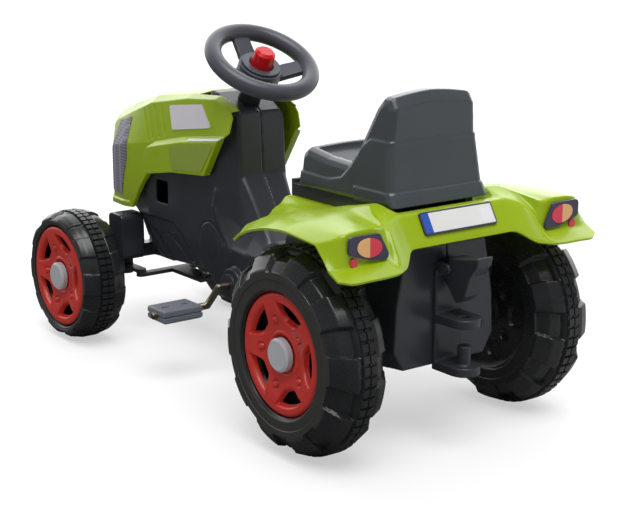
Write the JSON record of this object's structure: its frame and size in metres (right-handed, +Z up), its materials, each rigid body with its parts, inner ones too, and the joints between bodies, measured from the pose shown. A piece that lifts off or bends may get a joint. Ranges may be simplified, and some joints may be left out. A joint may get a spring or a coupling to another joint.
{
  "type": "ride-on pedal tractor toy",
  "caption": "Child's ride-on pedal tractor with a moulded bonnet, fender deck, bucket seat, steered front wheels, chain-driven rear axle and tow hitch.",
  "frame": {"origin": "on the floor, in the middle of the overall length and width", "axes": "+X forward along the tractor, +Y to the driver's left, +Z up"},
  "size_m": [0.8896, 0.438, 0.5121],
  "materials": {
    "lime_plastic": "moulded, glossy",
    "black_plastic": "moulded, fine grain",
    "charcoal_plastic": "moulded, fine grain",
    "tyre_plastic": "blow moulded, fine rings",
    "red_plastic": "moulded, satin",
    "grey_plastic": "moulded",
    "grey_pedal_plastic": "moulded",
    "slate_plastic": "moulded",
    "amber_plastic": "printed",
    "red_lens_plastic": "printed",
    "gloss_black_plastic": "moulded, glossy",
    "grille_print": "printed film with a fine mesh",
    "white_print": "printed film",
    "olive_print": "printed film",
    "blue_print": "printed film",
    "zinc_steel": "zinc plated",
    "dark_steel": "oiled"
  },
  "bodies": {
    "chassis": {"body_left": "black_plastic", "body_right": "black_plastic", "bonnet": "lime_plastic", "rear_deck": "lime_plastic", "grille_left": "grille_print", "grille_right": "grille_print", "badge_panel_left": "white_print", "badge_panel_right": "white_print", "stripe_panel_left": "olive_print", "stripe_panel_right": "olive_print", "streak_panel_left": "white_print", "streak_panel_right": "white_print", "plate_frame": "black_plastic", "plate_face": "white_print", "plate_band": "blue_print", "plate_sticker": "white_print", "lamp_bezel_left": "slate_plastic", "lamp_bezel_right": "slate_plastic", "amber_lens_left": "amber_plastic", "amber_lens_right": "amber_plastic", "red_lens_left": "red_lens_plastic", "red_lens_right": "red_lens_plastic", "reflector_left": "red_lens_plastic", "reflector_right": "red_lens_plastic", "seat_rails": "black_plastic", "seat": "charcoal_plastic", "column_collar": "black_plastic", "front_axle_beam": "black_plastic", "chain": "dark_steel", "axle_bushes": "grey_plastic", "crank_bushes": "grey_plastic", "tow_hitch": "black_plastic", "hitch_pin": "zinc_steel", "body_screws": "zinc_steel"},
    "steering": {"steering_wheel": "charcoal_plastic", "horn_bezel": "charcoal_plastic", "steering_shaft": "zinc_steel"},
    "horn": {"horn_button": "red_plastic"},
    "left_knuckle": {"knuckle_left": "dark_steel"},
    "right_knuckle": {"knuckle_right": "dark_steel"},
    "link": {"steering_link": "dark_steel"},
    "left_front_wheel": {"front_tyre_left": "tyre_plastic", "front_rim_left": "red_plastic", "front_hub_cap_left": "grey_plastic"},
    "right_front_wheel": {"front_tyre_right": "tyre_plastic", "front_rim_right": "red_plastic", "front_hub_cap_right": "grey_plastic"},
    "rear_drive": {"rear_axle": "zinc_steel", "sprocket": "dark_steel", "rear_tyre_left": "tyre_plastic", "rear_rim_left": "red_plastic", "rear_hub_cap_left": "grey_plastic"},
    "right_rear_wheel": {"rear_tyre_right": "tyre_plastic", "rear_rim_right": "red_plastic", "rear_hub_cap_right": "grey_plastic"},
    "crank_set": {"crank": "dark_steel", "chainring": "dark_steel"},
    "left_pedal": {"pedal_left": "grey_pedal_plastic"},
    "right_pedal": {"pedal_right": "grey_pedal_plastic"},
    "latch": {"hitch_latch": "gloss_black_plastic"}
  },
  "joints": [
    {"name": "steering_turn", "type": "hinge", "parent": "chassis", "child": "steering", "pos_m": [0.04048, 0, 0.461], "axis": [-0.515, 0, 0.8572], "range_deg": [-30, 30]},
    {"name": "horn_press", "type": "slide", "parent": "steering", "child": "horn", "axis": [0.515, 0, -0.8572], "range_m": [0, 0.004], "stiffness_N_per_m": 600, "springref_m": -0.002},
    {"name": "left_knuckle_turn", "type": "hinge", "parent": "chassis", "child": "left_knuckle", "pos_m": [0.34048, 0.07, 0.104], "axis": [0, 0, 1], "range_deg": [-24.1, 24.1]},
    {"name": "right_knuckle_turn", "type": "hinge", "parent": "chassis", "child": "right_knuckle", "pos_m": [0.34048, -0.07, 0.104], "axis": [0, 0, 1], "range_deg": [-24.1, 24.1]},
    {"name": "link_swing", "type": "hinge", "parent": "left_knuckle", "child": "link", "pos_m": [0.29048, 0.07, 0.098], "axis": [0, 0, 1], "range_deg": [-24.1, 24.1]},
    {"name": "left_front_spin", "type": "hinge", "parent": "left_knuckle", "child": "left_front_wheel", "pos_m": [0.34048, 0.16, 0.104], "axis": [0, 1, 0], "continuous": true},
    {"name": "right_front_spin", "type": "hinge", "parent": "right_knuckle", "child": "right_front_wheel", "pos_m": [0.34048, -0.16, 0.104], "axis": [0, 1, 0], "continuous": true},
    {"name": "rear_drive_spin", "type": "hinge", "parent": "chassis", "child": "rear_drive", "pos_m": [-0.29952, 0, 0.137], "axis": [0, 1, 0], "continuous": true},
    {"name": "right_rear_spin", "type": "hinge", "parent": "chassis", "child": "right_rear_wheel", "pos_m": [-0.29952, -0.175, 0.137], "axis": [0, 1, 0], "continuous": true},
    {"name": "crank_spin", "type": "hinge", "parent": "chassis", "child": "crank_set", "pos_m": [0.02548, 0, 0.136], "axis": [0, 1, 0], "continuous": true},
    {"name": "left_pedal_spin", "type": "hinge", "parent": "crank_set", "child": "left_pedal", "pos_m": [0.05822, 0.148, 0.10089], "axis": [0, 1, 0], "continuous": true},
    {"name": "right_pedal_spin", "type": "hinge", "parent": "crank_set", "child": "right_pedal", "pos_m": [-0.00726, -0.148, 0.17111], "axis": [0, 1, 0], "continuous": true},
    {"name": "latch_lift", "type": "hinge", "parent": "chassis", "child": "latch", "pos_m": [-0.3904, 0, 0.23668], "axis": [0, 1, 0], "range_deg": [0, 40]}
  ],
  "couplings": [
    {"joint": "left_knuckle_turn", "follows": "steering_turn", "ratio": 0.8},
    {"joint": "right_knuckle_turn", "follows": "steering_turn", "ratio": 0.8},
    {"joint": "link_swing", "follows": "steering_turn", "ratio": -0.8},
    {"joint": "crank_spin", "follows": "rear_drive_spin", "ratio": 0.75}
  ]
}
